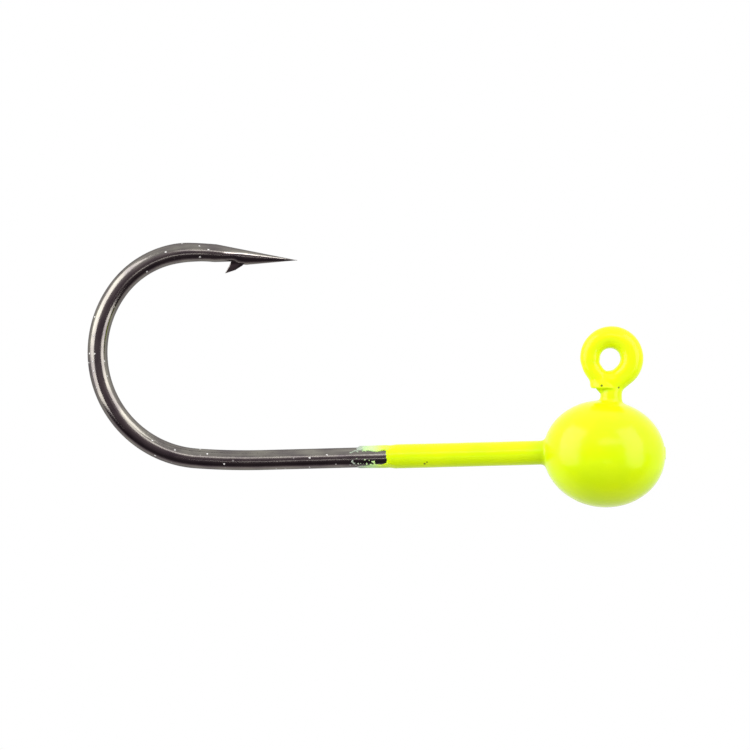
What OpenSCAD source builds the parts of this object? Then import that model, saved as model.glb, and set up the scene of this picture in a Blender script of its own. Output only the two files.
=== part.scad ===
// Ball jig head for lure fishing: a round lead head cast on a forged jig hook,
// painted over a white base coat. Millimetres. The hook lies in the XZ plane,
// the origin is the centre of the line eye, +X points to the nose and +Z up.

/* [Hook wire] */
// Diameter of the hook wire
wire_d = 1.57; // [1.2:0.01:2]
// Diameter that the wire is drawn down to for the riser and the eye
eye_wire_d = 1.28; // [1:0.01:1.5]
// Length of the taper between the two diameters
draw_l = 1.2; // [0.6:0.1:1.6]

/* [Line eye] */
// Diameter of the hole in the finished, painted eye
eye_hole_d = 1.76; // [1.4:0.02:2.4]
// Depth of paint that the clearing pin takes off inside the eye
pin_trim = 0.02; // [0.01:0.01:0.05]
// Angle that the riser bends aside by to run into the ring
aside_a = 50; // [40:1:60]
// Centreline radius of that bend
aside_r = 1.45; // [1.1:0.05:1.8]
// Angle past the back of the ring at which the tag end runs straight
tag_a = 36; // [25:1:45]
// Height of the cut face of the tag end below the centre of the eye
tag_drop = 2.28; // [2:0.02:2.6]
// Gap between the tag end and the riser
tag_gap = 0.06; // [0.03:0.01:0.1]

/* [Shank] */
// Height of the shank's axis below the centre of the eye, at the riser
shank_drop = 7.22; // [6:0.02:9]
// Rise of the shank towards the head, in degrees
shank_rise = 1.52; // [0:0.01:4]
// Length of the shank from the riser's axis to the start of the bend
shank_l = 27.13; // [20:0.01:34]
// Centreline radius of the corner between riser and shank, inside the head
corner_r = 1.6; // [1.2:0.1:2.2]

/* [Bend] */
// Radius of the long easy start of the bend
entry_r = 54.5; // [30:0.5:80]
// Angle of the start of the bend
entry_a = 5.63; // [0.5:0.01:10]
// Radius of the main part of the bend
throat_r = 8.32; // [6:0.01:11]
// Angle of the main part of the bend
throat_a = 122.4; // [100:0.1:130]
// Radius of the upper back of the bend
back_r = 7.11; // [5:0.01:9]
// Angle of the upper back of the bend
back_a = 51.4; // [40:0.1:60]
// Radius of the flat exit of the bend
exit_r = 16.4; // [12:0.1:22]
// Angle of the flat exit of the bend
exit_a = 7.05; // [3:0.01:12]

/* [Point] */
// Length of the point from the end of the bend
point_l = 6.55; // [5:0.05:8]
// Length of the first, slow taper of the point
slow_l = 3.4; // [2.5:0.1:4]
// Diameter of the point where the slow taper ends
slow_d = 0.95; // [0.7:0.01:1.2]
// Diameter of the very tip
tip_d = 0.06; // [0.04:0.01:0.12]
// Distance of the barb's sharp end behind the tip
barb_back = 5.5; // [4.5:0.05:6]
// Depth of the barb's sharp end below the point's axis
barb_depth = 1.52; // [1.1:0.02:1.8]
// Length of the barb along the wire
barb_l = 1.35; // [1:0.05:2]
// Forward lean of the barb's back face
barb_lean = 0.25; // [0.1:0.05:0.5]
// Thickness of the barb
barb_t = 0.7; // [0.5:0.05:0.9]

/* [Head] */
// Half length of the lead ball, from nose to tail
ball_half_l = 4.58; // [3.8:0.02:5.6]
// Half height and half thickness of the lead ball
ball_half_h = 4.03; // [3.8:0.01:5]
// Distance of the ball's centre behind the riser's axis
ball_back = 0.54; // [0:0.02:1.5]
// Distance of the ball's centre below the shank's axis, at the riser
ball_low = 0.24; // [0:0.02:0.8]
// Angle that the ball's nose dips by
ball_dip = 6.2; // [0:0.1:12]
// Height of the sprue stub up the nose, as an angle at the ball's centre
sprue_a = 1; // [-6:0.5:10]
// Diameter of the sprue stub on the nose
sprue_d = 0.8; // [0.5:0.05:1.2]
// Height of the sprue stub
sprue_h = 0.1; // [0.05:0.01:0.2]

/* [Paint] */
// Thickness of the white base coat
base_t = 0.06; // [0.04:0.01:0.1]
// Thickness of the fluorescent top coat
top_t = 0.1; // [0.06:0.01:0.14]
// Length of shank that the base coat covers, from the riser's axis
base_l = 19.6; // [15:0.1:24]
// Length of shank that the top coat covers, from the riser's axis
top_l = 17.6; // [13:0.1:21]

/* [Hidden] */
$fn = 72;

coat_t = base_t + top_t;
// Centreline radius of the ring: the hole, less the trim, plus paint and half the wire
ring_r = eye_hole_d / 2 - pin_trim + coat_t + eye_wire_d / 2;
// The corner inside the head turns the wire from the riser into the shank
corner_a = 90 - shank_rise;
corner_cut = corner_r * tan(corner_a / 2);
corner_z = corner_cut - shank_drop;
// The ring is met at this point, heading aside_a away from upright
join_x = ring_r * cos(aside_a);
join_z = -ring_r * sin(aside_a);
// Straight between the riser's side bend and the ring
cross_l = (join_x - aside_r * (1 - cos(aside_a))) / sin(aside_a);
aside_z = join_z - aside_r * sin(aside_a) - cross_l * cos(aside_a);
riser_l = aside_z - corner_z - draw_l;
// The tag runs straight until it is past its cut
tag_z = -ring_r * sin(tag_a);
tag_l = (tag_drop + tag_z + wire_d) / cos(tag_a);
// Height of the ball's centre
ball_z = -shank_drop - ball_low;
// How far a cut runs past what it cuts
clear = 2;
// A length that reaches past everything round the eye
reach = 8 * ring_r;
// Depth of the barb's front foot below the axis, against the wire's diameter there
keel_f = 0.75;
// Where this is above 0, a ball that much larger than the wire closes each joint along it
$seam = 0;

// A straight run of wire along +X; what follows starts at its end
module run(l, d, end_d = 0) {
    if ($seam > 0) sphere(d = d + $seam);
    rotate([0, 90, 0]) cylinder(h = l, d1 = d, d2 = end_d > 0 ? end_d : d);
    translate([l, 0, 0]) children();
}

// A bend of the wire to the right, of centreline radius r; what follows starts at its end
module right_bend(r, a, d) {
    if ($seam > 0) sphere(d = d + $seam);
    translate([0, -r, 0]) {
        rotate([0, 0, 90 - a]) rotate_extrude(angle = a) translate([r, 0]) circle(d = d);
        rotate([0, 0, -a]) translate([0, r, 0]) children();
    }
}

// Turns the plane of the wire upright: drawn in XY, it stands in XZ
module upright() {
    rotate([90, 0, 0]) children();
}

// The riser from the corner up, its side bend and its crossing to the ring
module riser(grow) {
    d = eye_wire_d + 2 * grow;
    translate([0, corner_z]) rotate([0, 0, 90])
        run(draw_l, wire_d + 2 * grow, d)
            run(riser_l, d)
                right_bend(aside_r, aside_a, d)
                    run(cross_l, d);
}

// Part of the ring, between two angles from +X
module ring_arc(from, to, d) {
    rotate([0, 0, from]) {
        if ($seam > 0) translate([ring_r, 0]) sphere(d = d + $seam);
        rotate_extrude(angle = to - from) translate([ring_r, 0]) circle(d = d);
    }
}

// The ring, from where the riser meets it to its back
module ring(grow) {
    ring_arc(-aside_a, 180, eye_wire_d + 2 * grow);
}

// The tag end: the last of the ring and a short straight, cut off level
module tag(grow) {
    d = eye_wire_d + 2 * grow;
    cut_y = -tag_drop - grow;
    difference() {
        union() {
            ring_arc(180, 180 + tag_a, d);
            rotate([0, 0, 180 + tag_a]) translate([ring_r, 0]) rotate([0, 0, 90]) run(tag_l, d);
        }
        translate([-reach / 2, cut_y - reach, -reach / 2]) cube(reach);
        if (grow == 0) riser(tag_gap);
    }
}

// Riser, ring and tag, grown by a coat
module eye(grow) {
    riser(grow);
    ring(grow);
    tag(grow);
}

// The corner inside the head and a length of shank, grown by a coat; what follows starts at its end
module shank(l, grow) {
    d = wire_d + 2 * grow;
    translate([0, corner_z]) rotate([0, 0, -90])
        right_bend(corner_r, corner_a, d)
            run(l - corner_cut, d) children();
}

// The barb, from its sharp end to where its keel fades out near the tip
module barb() {
    sharp_x = point_l - barb_back;
    keel_y = -slow_d * keel_f;
    translate([0, 0, -barb_t / 2]) linear_extrude(height = barb_t) polygon([
        [sharp_x, -barb_depth],
        [sharp_x + barb_l, keel_y],
        [point_l - tip_d, -tip_d / 2],
        [sharp_x + barb_lean, 0]
    ]);
}

// The tapered point, along +X from the end of the bend
module point() {
    run(slow_l, wire_d, slow_d)
        run(point_l - slow_l, slow_d, tip_d);
    barb();
}

// The ball with its sprue stub, grown by a coat
module ball(grow) {
    stretch = (ball_half_l + grow) / (ball_half_h + grow);
    translate([-ball_back, 0, ball_z]) {
        rotate([0, 90 + ball_dip, 0]) scale([1, 1, stretch]) sphere(r = ball_half_h + grow);
        rotate([0, 90 - sprue_a, 0]) cylinder(h = ball_half_l + sprue_h + grow, d = sprue_d + 2 * grow);
    }
}

// The metal that the paint covers, grown by a coat, with a given length of shank
module painted_metal(grow, cover) {
    upright() {
        eye(grow);
        shank(cover, grow);
    }
    ball(grow);
}

// One piece of forged wire: eye, riser, shank, bend, point and barb
module hook() {
    $seam = 0.004;
    color([0.18, 0.15, 0.16]) upright() {
        eye(0);
        shank(shank_l, 0)
            right_bend(entry_r, entry_a, wire_d)
                right_bend(throat_r, throat_a, wire_d)
                    right_bend(back_r, back_a, wire_d)
                        right_bend(exit_r, exit_a, wire_d)
                            point();
    }
}

// The lead ball, cast round the corner of the hook, so that the wire fills its channel
module head_casting() {
    $seam = 0.004;
    color([0.45, 0.46, 0.48]) difference() {
        ball(0);
        upright() {
            riser(0);
            shank(2 * ball_half_l, 0);
        }
    }
}

// The white base coat, next to the metal, which runs further along the shank
module base_coat() {
    color([0.93, 0.94, 0.88]) difference() {
        painted_metal(base_t, base_l);
        painted_metal(0, base_l + clear);
    }
}

// The fluorescent top coat, over the base coat, with the eye's hole cleared by a pin
module top_coat() {
    color([0.86, 0.97, 0.08]) difference() {
        painted_metal(coat_t, top_l);
        painted_metal(base_t, top_l + clear);
        upright() cylinder(h = reach, d = eye_hole_d, center = true);
    }
}

hook();
head_casting();
base_coat();
top_coat();
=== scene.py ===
"""Looks of a ball jig head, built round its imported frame.

The frame holds the forged hook, the lead casting and the two coats of paint. This script draws the hook
again with its ground point and barb, grows both coats over it with soft fillets, drips and a ragged end,
and gives each its finish. Shapes are drawn in millimetres in the frame's own axes and end in metres.
"""

import logging
import math
from dataclasses import dataclass, field
from enum import Enum

import bmesh
import bpy
import numpy as np
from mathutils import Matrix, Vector, noise


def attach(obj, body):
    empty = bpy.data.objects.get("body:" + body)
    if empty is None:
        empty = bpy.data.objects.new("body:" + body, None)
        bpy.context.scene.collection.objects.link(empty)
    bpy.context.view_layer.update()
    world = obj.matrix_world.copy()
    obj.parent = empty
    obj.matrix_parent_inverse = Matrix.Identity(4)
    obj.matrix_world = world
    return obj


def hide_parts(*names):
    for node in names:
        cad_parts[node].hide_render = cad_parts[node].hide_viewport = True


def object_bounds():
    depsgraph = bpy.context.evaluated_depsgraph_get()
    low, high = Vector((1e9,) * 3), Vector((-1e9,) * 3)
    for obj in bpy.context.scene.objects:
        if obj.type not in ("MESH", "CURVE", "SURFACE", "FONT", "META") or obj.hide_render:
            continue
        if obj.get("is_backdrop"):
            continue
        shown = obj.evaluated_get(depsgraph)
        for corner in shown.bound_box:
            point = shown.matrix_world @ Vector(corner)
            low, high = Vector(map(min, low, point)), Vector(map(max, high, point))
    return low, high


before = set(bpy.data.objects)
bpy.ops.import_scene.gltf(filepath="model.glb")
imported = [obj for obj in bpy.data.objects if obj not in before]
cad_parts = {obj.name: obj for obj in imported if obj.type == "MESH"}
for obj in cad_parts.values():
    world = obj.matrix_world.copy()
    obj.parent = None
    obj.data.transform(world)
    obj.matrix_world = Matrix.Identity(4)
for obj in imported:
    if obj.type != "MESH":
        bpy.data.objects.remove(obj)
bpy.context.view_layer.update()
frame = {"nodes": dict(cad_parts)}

MM = 0.001
TAG_PARTS = 2
LOG = logging.getLogger("jig_head")


class Slot(Enum):
    """The record's material slot names; nothing in this script reads them."""

    WIRE = "black_nickel_wire"
    BASE = "white_base_coat"
    TOP = "fluorescent_top_coat"


# ---------------------------------------------------------------- sizes


@dataclass(frozen=True)
class HookSizes:
    """Sizes of the forged hook, in millimetres and degrees, as the frame has them."""

    wire_d: float = 1.57
    eye_wire_d: float = 1.28
    draw_l: float = 1.2
    ring_r: float = 1.66
    aside_a: float = 50.0
    aside_r: float = 1.45
    tag_a: float = 36.0
    tag_drop: float = 2.28
    shank_drop: float = 7.22
    shank_rise: float = 1.52
    shank_l: float = 27.13
    corner_r: float = 1.6
    bends: tuple[tuple[float, float], ...] = ((54.5, 5.63), (8.32, 122.4), (7.11, 51.4), (16.4, 7.05))
    point_l: float = 6.55


@dataclass(frozen=True)
class PointSizes:
    """Shape of the ground point, by distance behind the tip, in millimetres."""

    upper_slope: float = 0.110
    lower_slope: float = 0.178
    side_slope: float = 0.150
    tip_r: float = 0.02
    ground_from: float = 5.6
    ground_full: float = 4.2
    round_power: float = 2.0
    ground_power: float = 1.9
    taper_from: float = 9.6
    ridge_lift: float = 0.14
    trim: float = 0.999
    waist: float = 0.08
    waist_full: float = 6.9
    notch_h: float = 0.55
    notch_slope: float = 0.115
    notch_rise: float = 5.1
    notch_zone: tuple[float, float] = (4.35, 4.95)


@dataclass(frozen=True)
class BarbSizes:
    """The barb's outline in the point's own frame: along the wire and below its axis, in millimetres."""

    sharp: tuple[float, float] = (1.00, -1.525)
    belly: tuple[float, float] = (1.78, -1.19)
    front: tuple[float, float] = (2.30, -0.80)
    front_root: tuple[float, float] = (2.75, -0.30)
    back_root: tuple[float, float] = (1.50, -0.25)
    back: tuple[float, float] = (1.29, -0.88)
    root_t: float = 0.74
    front_t: float = 0.592
    back_t: float = 0.37
    belly_t: float = 0.36
    sharp_t: float = 0.12
    edge: float = 0.055
    crease: float = 35.0

    @staticmethod
    def midway(first: tuple[float, float], second: tuple[float, float]) -> tuple[float, float]:
        """Returns the place halfway between two."""
        return (first[0] + second[0]) / 2, (first[1] + second[1]) / 2

    def outline(self) -> dict[tuple[int, int], tuple[tuple[float, float], float]]:
        """Lays the wedge's nine places out on a grid, from sharp end to front and from edge to root.

        Returns:
            Place and thickness for each column and row, both from -1 to 1.
        """
        root = self.midway(self.front_root, self.back_root)
        return {
            (-1, -1): (self.sharp, self.sharp_t),
            (0, -1): (self.belly, self.belly_t),
            (1, -1): (self.front, self.front_t),
            (-1, 0): (self.back, self.back_t),
            (0, 0): (self.midway(self.belly, root), self.front_t),
            (1, 0): (self.midway(self.front, self.front_root), self.front_t),
            (-1, 1): (self.back_root, self.root_t),
            (0, 1): (root, self.root_t),
            (1, 1): (self.front_root, self.front_t),
        }


@dataclass(frozen=True)
class HeadSizes:
    """The lead ball inside the paint, in millimetres and degrees."""

    half_l: float = 4.58
    half_h: float = 4.03
    back: float = 0.54
    low: float = 0.24
    dip: float = 6.2
    sprue_r: float = 0.44
    sprue_h: float = 0.04
    sprue_up: float = 0.08
    shrink: float = 0.03
    longer: float = 0.06
    parting_h: float = 0.025
    parting_w: float = 0.16


@dataclass(frozen=True)
class PaintSizes:
    """The two coats, in millimetres and degrees; lengths run along the shank from the riser.

    Each row of a flow is the height, pitch and seed of one ripple.
    """

    base_t: float = 0.06
    top_t: float = 0.16
    base_l: float = 19.95
    top_l: float = 17.6
    fillet: float = 0.48
    crevice: float = 0.20
    run_a: float = 50.0
    lean_a: float = 205.0
    drip: float = 0.26
    riser_full: float = 0.05
    tag_run: tuple[float, float] = (1.6, 2.35)
    tag_thin: float = 0.09
    tag_under: float = 0.35
    tag_edge: float = 0.04
    web: tuple[float, float, float] = (-0.10, -1.71, 0.76)
    web_narrow: float = 0.94
    web_soft: float = 0.40
    inner_band: tuple[float, float] = (-0.45, 0.15)
    hole_run: tuple[float, float] = (0.06, 0.08)
    rim_run: tuple[float, float] = (0.03, 0.08)
    lean: float = 0.06
    lean_sharp: int = 6
    eye_reach: tuple[float, float] = (2.2, 3.0)
    riser_reach: tuple[float, float] = (1.0, 1.8)
    ball_flow: tuple[tuple[float, float, float], ...] = ((0.010, 2.3, 1.0), (0.005, 0.9, 4.0))
    wire_flow: tuple[tuple[float, float, float], ...] = ((0.006, 1.3, 2.0),)
    stub_soft: float = 0.22


# ---------------------------------------------------------------- the wire's path


@dataclass(frozen=True)
class Segment:
    """One straight or arc of the wire's centreline, in the plane of the hook."""

    x: float
    z: float
    heading: float
    length: float
    turn: float = 0.0

    @property
    def radius(self) -> float:
        """Centreline radius of an arc."""
        return self.length / abs(self.turn)

    @property
    def centre(self) -> tuple[float, float]:
        """Centre of an arc, on the side it turns to."""
        side = math.copysign(self.radius, self.turn)
        return self.x - side * math.sin(self.heading), self.z + side * math.cos(self.heading)

    def end(self) -> tuple[float, float, float]:
        """Walks to the far end of the stretch.

        Returns:
            The end's x, z and heading.
        """
        if not self.turn:
            return (self.x + self.length * math.cos(self.heading),
                    self.z + self.length * math.sin(self.heading), self.heading)
        cx, cz = self.centre
        cos, sin = math.cos(self.turn), math.sin(self.turn)
        dx, dz = self.x - cx, self.z - cz
        return cx + dx * cos - dz * sin, cz + dx * sin + dz * cos, self.heading + self.turn

    def backwards(self) -> "Segment":
        """Returns the same stretch, walked from its end."""
        x, z, heading = self.end()
        return Segment(x, z, heading + math.pi, self.length, -self.turn)

    def locate(self, x: np.ndarray, z: np.ndarray) -> tuple[np.ndarray, np.ndarray, np.ndarray]:
        """Finds the nearest place on the stretch.

        Args:
            x: Points' x, in millimetres.
            z: Points' z.

        Returns:
            Distance along the stretch, offset to its left, and distance past either end.
        """
        if not self.turn:
            cos, sin = math.cos(self.heading), math.sin(self.heading)
            along = (x - self.x) * cos + (z - self.z) * sin
            left = -(x - self.x) * sin + (z - self.z) * cos
        else:
            cx, cz = self.centre
            sign = math.copysign(1.0, self.turn)
            dx, dz = x - cx, z - cz
            start = math.atan2(self.z - cz, self.x - cx)
            angle = (np.arctan2(dz, dx) - start) * sign
            half = (2 * math.pi - abs(self.turn)) / 2
            angle = np.mod(angle + half, 2 * math.pi) - half
            along = angle * self.radius
            left = sign * (self.radius - np.hypot(dx, dz))
        inside = np.clip(along, 0.0, self.length)
        return inside, left, np.abs(along - inside)


@dataclass
class Chain:
    """Segments laid end to end from a starting point."""

    x: float
    z: float
    heading: float
    parts: list[Segment] = field(default_factory=list)

    def add(self, length: float, turn: float = 0.0) -> "Chain":
        """Adds a stretch to the end.

        Args:
            length: Its length.
            turn: How far it turns, in radians, positive to the left.

        Returns:
            The chain, so that calls can follow on.
        """
        part = Segment(self.x, self.z, self.heading, length, turn)
        self.parts.append(part)
        self.x, self.z, self.heading = part.end()
        return self

    def bend(self, radius: float, degrees: float) -> "Chain":
        """Adds an arc by its radius and its angle, positive to the left, and returns the chain."""
        return self.add(radius * math.radians(abs(degrees)), math.radians(degrees))


class WirePath:
    """The wire's whole centreline, from the tag end of the eye to the tip of the point."""

    def __init__(self, sizes: HookSizes) -> None:
        """Works the segments out from the hook's sizes.

        Args:
            sizes: The hook's sizes.
        """
        self.sizes = s = sizes
        corner_a = 90.0 - s.shank_rise
        cut = s.corner_r * math.tan(math.radians(corner_a) / 2)
        self.corner_z = cut - s.shank_drop
        aside = math.radians(s.aside_a)
        join_x, join_z = s.ring_r * math.cos(aside), -s.ring_r * math.sin(aside)
        cross = (join_x - s.aside_r * (1 - math.cos(aside))) / math.sin(aside)
        aside_z = join_z - s.aside_r * math.sin(aside) - cross * math.cos(aside)
        tag_z = -s.ring_r * math.sin(math.radians(s.tag_a))
        tag_l = (s.tag_drop + tag_z) / math.cos(math.radians(s.tag_a))
        up = Chain(0.0, self.corner_z, math.pi / 2)
        up.add(s.draw_l).add(aside_z - self.corner_z - s.draw_l).bend(s.aside_r, -s.aside_a).add(cross)
        up.bend(s.ring_r, 180.0 + s.aside_a).bend(s.ring_r, s.tag_a).add(tag_l)
        down = Chain(0.0, self.corner_z, -math.pi / 2)
        down.bend(s.corner_r, -corner_a).add(s.shank_l - cut)
        for radius, degrees in s.bends:
            down.bend(radius, -degrees)
        down.add(s.point_l)
        self.eye_parts = up.parts
        self.parts = [p.backwards() for p in reversed(up.parts)] + down.parts
        self.at = np.concatenate([[0.0], np.cumsum([p.length for p in self.parts])])
        self.corner_at = float(self.at[len(up.parts)])
        self.draw_at = self.corner_at - s.draw_l
        self.shank_zero = self.corner_at + self.parts[len(up.parts)].length - cut
        self.point = self.parts[-1]
        self.length = float(self.at[-1])

    def upto(self, end: float) -> list[Segment]:
        """Cuts the path off at a length along the wire.

        Args:
            end: Length from the tag end.

        Returns:
            The segments up to there, the last one cut short.
        """
        kept = []
        for part, at in zip(self.parts, self.at):
            room = end - at
            if room <= 0:
                break
            if room < part.length:
                turn = part.turn * room / part.length
                kept.append(Segment(part.x, part.z, part.heading, room, turn))
                break
            kept.append(part)
        return kept

    def wire_r(self, at: np.ndarray) -> np.ndarray:
        """Gives the wire's radius before its point is ground.

        Args:
            at: Lengths along the wire.

        Returns:
            The radius at each.
        """
        s = self.sizes
        drawn = np.clip((at - self.draw_at) / s.draw_l, 0.0, 1.0)
        return (s.eye_wire_d + (s.wire_d - s.eye_wire_d) * drawn) / 2

    def locate(self, points: np.ndarray, parts: slice = slice(None)) -> tuple[np.ndarray, ...]:
        """Finds the nearest place on the wire for each point.

        Args:
            points: N by 3, in millimetres.
            parts: Which segments to look at.

        Returns:
            Length along the wire, offset to the left in the hook's plane, and offset across it.
        """
        x, y, z = points.T
        best = np.full(len(points), 1e9)
        at, left = np.zeros(len(points)), np.zeros(len(points))
        for part, start in list(zip(self.parts, self.at))[parts]:
            along, side, past = part.locate(x, z)
            gap = np.sqrt(side ** 2 + y ** 2 + past ** 2)
            near = gap < best
            best = np.where(near, gap, best)
            at = np.where(near, start + along, at)
            left = np.where(near, side, left)
        return at, left, y

    def distance(self, points: np.ndarray, parts: slice) -> tuple[np.ndarray, np.ndarray]:
        """Measures how far points are from some of the centreline.

        Args:
            points: N by 3, in millimetres.
            parts: Which segments to look at.

        Returns:
            The distances, and the lengths along the wire of the nearest places.
        """
        x, y, z = points.T
        best, at = np.full(len(points), 1e9), np.zeros(len(points))
        for part, start in list(zip(self.parts, self.at))[parts]:
            along, side, past = part.locate(x, z)
            gap = np.sqrt(side ** 2 + y ** 2 + past ** 2)
            at = np.where(gap < best, start + along, at)
            best = np.minimum(gap, best)
        return best, at


# ---------------------------------------------------------------- mesh helpers


def only(obj: bpy.types.Object) -> None:
    """Selects one object alone and makes it active.

    Args:
        obj: The object.
    """
    if bpy.context.mode != "OBJECT":
        bpy.ops.object.mode_set(mode="OBJECT")
    bpy.ops.object.select_all(action="DESELECT")
    obj.select_set(True)
    bpy.context.view_layer.objects.active = obj


def coords(obj: bpy.types.Object) -> np.ndarray:
    """Reads a mesh's vertices.

    Args:
        obj: The mesh's object.

    Returns:
        Their places, N by 3.
    """
    out = np.empty(len(obj.data.vertices) * 3)
    obj.data.vertices.foreach_get("co", out)
    return out.reshape(-1, 3)


def set_coords(obj: bpy.types.Object, points: np.ndarray) -> None:
    """Writes the mesh's vertices back."""
    obj.data.vertices.foreach_set("co", points.astype(np.float32).ravel())
    obj.data.update()


def smooth_step(low: float, high: float, value: np.ndarray) -> np.ndarray:
    """Returns 0 below low, 1 above high and a smooth rise between."""
    t = np.clip((value - low) / (high - low), 0.0, 1.0)
    return t * t * (3 - 2 * t)


def ripple(points: np.ndarray, pitch: float, seed: float) -> np.ndarray:
    """Makes a soft, repeatable unevenness.

    Args:
        points: N by 3.
        pitch: Its pitch, in the points' unit.
        seed: Where its waves start.

    Returns:
        A value from -1 to 1 for each point.
    """
    x, y, z = (points / pitch).T
    wave = np.sin(x * 2.1 + seed + 1.7 * np.sin(y * 1.3 + seed * 2.0))
    wave = wave + np.sin(y * 2.4 + seed * 3.1 + 1.5 * np.sin(z * 1.6 + seed))
    wave = wave + np.sin(z * 2.2 - seed * 1.7 + 1.6 * np.sin(x * 1.5 - seed))
    return wave / 3


def ripples(points: np.ndarray, layers: tuple[tuple[float, float, float], ...]) -> np.ndarray:
    """Returns the sum of several ripples, each given by its height, pitch and seed."""
    return sum(height * ripple(points, pitch, seed) for height, pitch, seed in layers)


def blend_min(a: np.ndarray, b: np.ndarray, reach: float) -> np.ndarray:
    """Returns the smaller of two distances, rounded where they meet within a reach."""
    share = np.clip(reach - np.abs(a - b), 0.0, None) / reach
    return np.minimum(a, b) - share ** 3 * reach / 6


def finish_piece(obj: bpy.types.Object, material: bpy.types.Material) -> None:
    """Turns a piece drawn in millimetres into a finished one in metres, and dresses it.

    Args:
        obj: The piece.
        material: The finish.
    """
    only(obj)
    obj.scale = (MM, MM, MM)
    bpy.ops.object.transform_apply(location=True, rotation=True, scale=True)
    bpy.ops.object.shade_smooth()
    obj.data.materials.clear()
    obj.data.materials.append(material)
    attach(obj, "root")
    LOG.info("piece %s: %d vertices, %d faces", obj.name, len(obj.data.vertices), len(obj.data.polygons))


class WireSweep:
    """Draws a round wire as by hand: one ring of points is extruded along straights and spun round bends."""

    def __init__(self, name: str, parts: list[Segment], radius: float, sides: int, step: float) -> None:
        """Keeps what to draw.

        Args:
            name: The object's name.
            parts: The stretches to follow, end to end.
            radius: The ring's radius, in millimetres.
            sides: Points round the ring.
            step: Longest distance between rings.
        """
        self.name, self.parts, self.radius, self.sides, self.step = name, parts, radius, sides, step
        self.counts: list[int] = []

    def draw(self) -> bpy.types.Object:
        """Draws the wire and closes both ends.

        Returns:
            The object, in millimetres.
        """
        first = self.parts[0]
        bpy.ops.object.select_all(action="DESELECT")
        bpy.ops.mesh.primitive_circle_add(
            vertices=self.sides, radius=self.radius, fill_type="NGON",
            location=(first.x, 0.0, first.z), rotation=(0.0, math.pi / 2 - first.heading, 0.0))
        obj = bpy.context.object
        obj.name = obj.data.name = self.name
        bpy.ops.object.transform_apply(location=True, rotation=True, scale=True)
        bpy.ops.object.mode_set(mode="EDIT")
        bpy.ops.mesh.select_mode(type="VERT")
        bpy.ops.mesh.select_all(action="SELECT")
        bpy.ops.mesh.delete(type="ONLY_FACE")
        bpy.ops.mesh.select_all(action="SELECT")
        for part in self.parts:
            count = max(1, math.ceil(part.length / self.step))
            if part.turn:
                cx, cz = part.centre
                bpy.ops.mesh.spin(
                    steps=count, angle=abs(part.turn), center=(cx, 0.0, cz), use_auto_merge=False,
                    axis=(0.0, math.copysign(1.0, part.turn), 0.0))
            else:
                pace = part.length / count
                move = (pace * math.cos(part.heading), 0.0, pace * math.sin(part.heading))
                for _ in range(count):
                    bpy.ops.mesh.extrude_edges_move(TRANSFORM_OT_translate={"value": move})
            self.counts.append(len(bmesh.from_edit_mesh(obj.data).verts))
        bpy.ops.mesh.select_all(action="DESELECT")
        bpy.ops.mesh.select_non_manifold()
        bpy.ops.mesh.fill_holes(sides=0)
        bpy.ops.mesh.select_all(action="SELECT")
        bpy.ops.mesh.normals_make_consistent(inside=False)
        bpy.ops.object.mode_set(mode="OBJECT")
        return obj


# ---------------------------------------------------------------- finishes


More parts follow.
